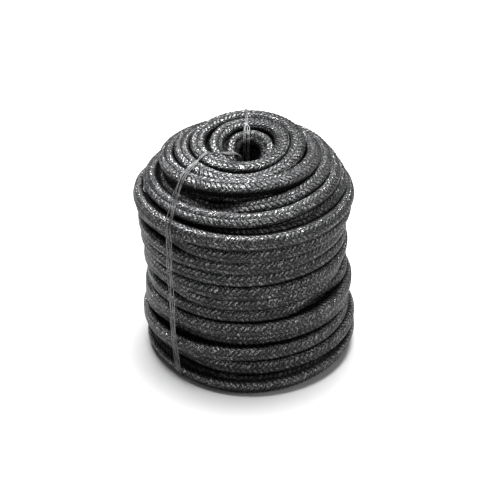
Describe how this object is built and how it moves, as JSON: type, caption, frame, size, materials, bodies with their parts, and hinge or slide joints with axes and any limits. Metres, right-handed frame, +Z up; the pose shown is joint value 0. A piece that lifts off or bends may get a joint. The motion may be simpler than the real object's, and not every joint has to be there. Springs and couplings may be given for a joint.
{
  "type": "coil of braided gland packing",
  "caption": "Square braided graphite packing wound into a tall coil with a narrow bore and domed top, held by yarn ties; cut lengths seal a shaft or valve stem.",
  "frame": {"origin": "centre of the coil on the surface it stands on", "axes": "+Z up along the coil's axis; the side seen in the picture faces -Y"},
  "size_m": [0.1969, 0.1947, 0.2094],
  "materials": {
    "packing": "satin",
    "tie_yarn": "satin"
  },
  "bodies": {
    "root": {"packing_coil": "packing", "tie_front_left": "tie_yarn", "tie_back": "tie_yarn", "tie_left": "tie_yarn"}
  },
  "joints": []
}
